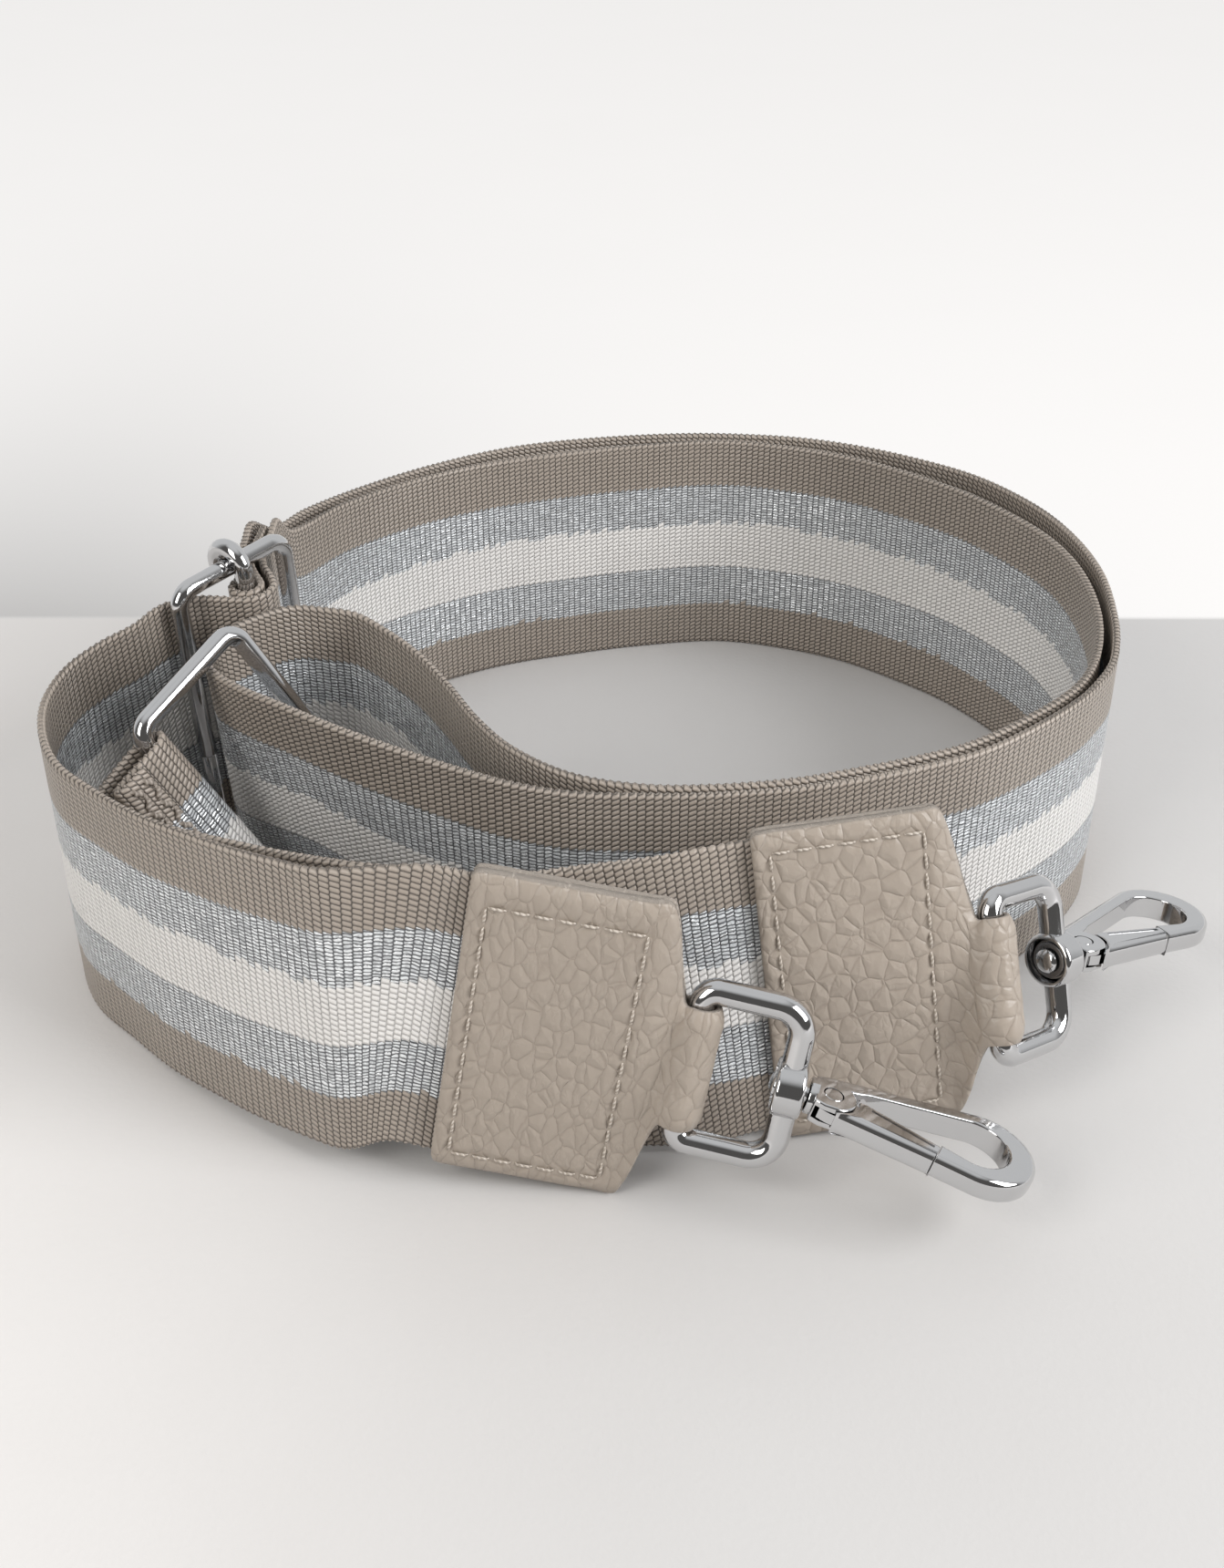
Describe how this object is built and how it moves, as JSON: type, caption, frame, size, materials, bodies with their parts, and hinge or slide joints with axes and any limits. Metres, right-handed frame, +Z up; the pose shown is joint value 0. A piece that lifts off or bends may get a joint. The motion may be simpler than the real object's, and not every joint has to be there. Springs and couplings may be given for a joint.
{
  "type": "detachable bag strap",
  "caption": "Wide striped webbing bag strap, laid in a coil on its edge, with leather end tabs, swivel trigger hooks, a square ring and a wire slider.",
  "frame": {"origin": "centre of the strap's box on the table it stands on", "axes": "+Z up from the table, +Y away from the viewer of the picture, +X to the viewer's right"},
  "size_m": [0.1964, 0.2, 0.0651],
  "materials": {
    "webbing": "woven stripes of taupe, silver and white",
    "leather": "pebbled taupe grain",
    "chrome": "bright polished plating",
    "steel": "plain steel"
  },
  "bodies": {
    "strap": {"long_webbing": "webbing", "short_webbing": "webbing", "tab_a_leather": "leather", "tab_b_leather": "leather", "slider_frame": "chrome", "slider_bar": "chrome"},
    "ring": {"square_ring": "chrome"},
    "eye_a": {"hook_a_eye": "chrome", "hook_a_washer": "steel"},
    "hook_a": {"hook_a_stud": "chrome", "hook_a_body": "chrome", "hook_a_rivet": "chrome", "hook_a_spring": "steel"},
    "gate_a": {"hook_a_gate": "chrome"},
    "eye_b": {"hook_b_eye": "chrome", "hook_b_washer": "steel"},
    "hook_b": {"hook_b_stud": "chrome", "hook_b_body": "chrome", "hook_b_rivet": "chrome", "hook_b_spring": "steel"},
    "gate_b": {"hook_b_gate": "chrome"}
  },
  "joints": [
    {"name": "ring_swing", "type": "hinge", "parent": "strap", "child": "ring", "pos_m": [-0.0791, -0.034, 0.0512], "axis": [0.4806, 0.1001, -0.8712], "range_deg": [-4, 4]},
    {"name": "hook_a_swing", "type": "hinge", "parent": "strap", "child": "eye_a", "pos_m": [0.009, -0.0834, 0.0241], "axis": [0.192, 0.2322, 0.9536], "range_deg": [-45, 8]},
    {"name": "hook_a_swivel", "type": "hinge", "parent": "eye_a", "child": "hook_a", "pos_m": [0.02369, -0.086, 0.02177], "axis": [0.9409, -0.199, -0.274], "continuous": true},
    {"name": "hook_a_gate", "type": "hinge", "parent": "hook_a", "child": "gate_a", "pos_m": [0.0295, -0.08793, 0.02014], "axis": [0.2942, 0.08, 0.9524], "range_deg": [0, 19], "stiffness_Nm_per_rad": 0.01, "springref_deg": -22.92},
    {"name": "hook_b_swing", "type": "hinge", "parent": "strap", "child": "eye_b", "pos_m": [0.0567, -0.067, 0.0269], "axis": [-0.1127, 0.4442, 0.8888], "range_deg": [-40, 6]},
    {"name": "hook_b_swivel", "type": "hinge", "parent": "eye_b", "child": "hook_b", "pos_m": [0.06805, -0.05759, 0.02364], "axis": [0.7449, 0.6339, -0.208], "continuous": true},
    {"name": "hook_b_gate", "type": "hinge", "parent": "hook_b", "child": "gate_b", "pos_m": [0.07321, -0.05413, 0.02237], "axis": [0.1234, 0.1754, 0.9767], "range_deg": [0, 19], "stiffness_Nm_per_rad": 0.01, "springref_deg": -22.92}
  ]
}
